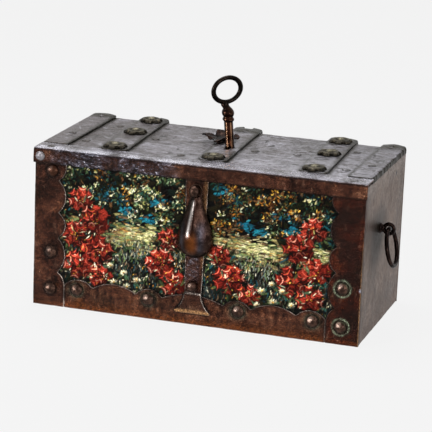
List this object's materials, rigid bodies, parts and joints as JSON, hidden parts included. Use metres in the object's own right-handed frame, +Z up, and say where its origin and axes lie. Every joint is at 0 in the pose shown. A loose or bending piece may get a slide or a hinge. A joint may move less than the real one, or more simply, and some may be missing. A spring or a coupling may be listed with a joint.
{
  "type": "coffer chest",
  "caption": "Small riveted iron coffer with a flat hinged lid, a key-turned lock in the lid, scalloped front straps, a painted front, a drop cover and ring handles.",
  "frame": {"origin": "middle of the underside of the base", "axes": "+X along the front to the viewer's right, -Y faces the viewer, +Z up"},
  "size_m": [0.377, 0.1874, 0.2395],
  "materials": {
    "lid_iron": "hammered, grey-brown patina",
    "side_iron": "weathered grey-brown sheet",
    "inner_iron": "dark bare sheet",
    "brown_iron": "red-brown varnished iron",
    "painted_sheet": "oil paint on sheet iron, varnished",
    "rivet_bronze": "dark bronze with green corrosion",
    "dark_iron": "dark polished iron",
    "lock_iron": "filed iron, oiled"
  },
  "bodies": {
    "case": {"base_plate": "inner_iron", "foot_bars": "inner_iron", "front_plate": "painted_sheet", "back_plate": "side_iron", "left_side_plate": "side_iron", "right_side_plate": "side_iron", "corner_angles": "inner_iron", "catch_rim": "inner_iron", "left_corner_strap": "brown_iron", "right_corner_strap": "brown_iron", "base_strap": "brown_iron", "centre_strap": "brown_iron", "front_rivets": "rivet_bronze", "drop_cover_stud": "dark_iron", "centre_strap_stud": "dark_iron", "left_hinge_leaf": "side_iron", "centre_hinge_leaf": "side_iron", "right_hinge_leaf": "side_iron", "back_rivets": "side_iron", "hinge_pins": "side_iron", "left_ring_eye": "dark_iron", "right_ring_eye": "dark_iron"},
    "lid": {"lid_plate": "lid_iron", "lid_front_band": "brown_iron", "band_rivet": "lid_iron", "left_edge_strap": "lid_iron", "right_edge_strap": "lid_iron", "left_lid_strap": "lid_iron", "centre_lid_strap": "lid_iron", "right_lid_strap": "lid_iron", "lid_rosettes": "rivet_bronze", "lid_rivets": "lid_iron", "cover_rivet": "rivet_bronze", "lock_plate": "lock_iron", "bolt_staples": "lock_iron", "crank_pins": "lock_iron", "key_bridge": "lock_iron", "drag_spring": "lock_iron"},
    "keyhole_cover": {"keyhole_cover": "dark_iron"},
    "key": {"key": "dark_iron"},
    "main_bolt": {"main_bolt": "lock_iron"},
    "left_crank": {"left_crank": "lock_iron"},
    "right_crank": {"right_crank": "lock_iron"},
    "left_bolt": {"left_bolt": "lock_iron"},
    "right_bolt": {"right_bolt": "lock_iron"},
    "drop_cover": {"drop_cover": "dark_iron"},
    "left_ring": {"left_ring": "dark_iron"},
    "right_ring": {"right_ring": "dark_iron"}
  },
  "joints": [
    {"name": "lid_hinge", "type": "hinge", "parent": "case", "child": "lid", "pos_m": [0, 0.0868, 0.16], "axis": [-1, 0, 0], "range_deg": [0, 105]},
    {"name": "key_turn", "type": "hinge", "parent": "lid", "child": "key", "pos_m": [0.0065, 0, 0.16], "axis": [0, 0, 1], "range_deg": [-80, 0]},
    {"name": "main_bolt_slide", "type": "slide", "parent": "lid", "child": "main_bolt", "axis": [0, -1, 0], "range_m": [0, 0.014]},
    {"name": "left_crank_turn", "type": "hinge", "parent": "lid", "child": "left_crank", "pos_m": [-0.07, 0.023, 0.151], "axis": [0, 0, 1], "range_deg": [-28.65, 0]},
    {"name": "right_crank_turn", "type": "hinge", "parent": "lid", "child": "right_crank", "pos_m": [0.07, 0.023, 0.151], "axis": [0, 0, 1], "range_deg": [0, 28.65]},
    {"name": "left_bolt_slide", "type": "slide", "parent": "lid", "child": "left_bolt", "axis": [-1, 0, 0], "range_m": [0, 0.009]},
    {"name": "right_bolt_slide", "type": "slide", "parent": "lid", "child": "right_bolt", "axis": [1, 0, 0], "range_m": [0, 0.009]},
    {"name": "keyhole_cover_swing", "type": "hinge", "parent": "lid", "child": "keyhole_cover", "pos_m": [-0.0085, 0.0095, 0.165], "axis": [0, 0, 1], "range_deg": [-45, 120]},
    {"name": "drop_cover_swing", "type": "hinge", "parent": "case", "child": "drop_cover", "pos_m": [0, -0.085, 0.1385], "axis": [0, 1, 0], "range_deg": [-70, 70]},
    {"name": "left_ring_swing", "type": "hinge", "parent": "case", "child": "left_ring", "pos_m": [-0.1785, -0.014, 0.10303], "axis": [0, 1, 0], "range_deg": [-12, 140]},
    {"name": "right_ring_swing", "type": "hinge", "parent": "case", "child": "right_ring", "pos_m": [0.1785, -0.014, 0.10303], "axis": [0, -1, 0], "range_deg": [-12, 140]}
  ],
  "couplings": [
    {"joint": "key_turn", "follows": "main_bolt_slide", "rad_per_m": -99.723},
    {"joint": "left_crank_turn", "follows": "main_bolt_slide", "rad_per_m": -35.711},
    {"joint": "right_crank_turn", "follows": "main_bolt_slide", "rad_per_m": 35.711},
    {"joint": "left_bolt_slide", "follows": "main_bolt_slide", "ratio": 0.64279},
    {"joint": "right_bolt_slide", "follows": "main_bolt_slide", "ratio": 0.64279}
  ]
}
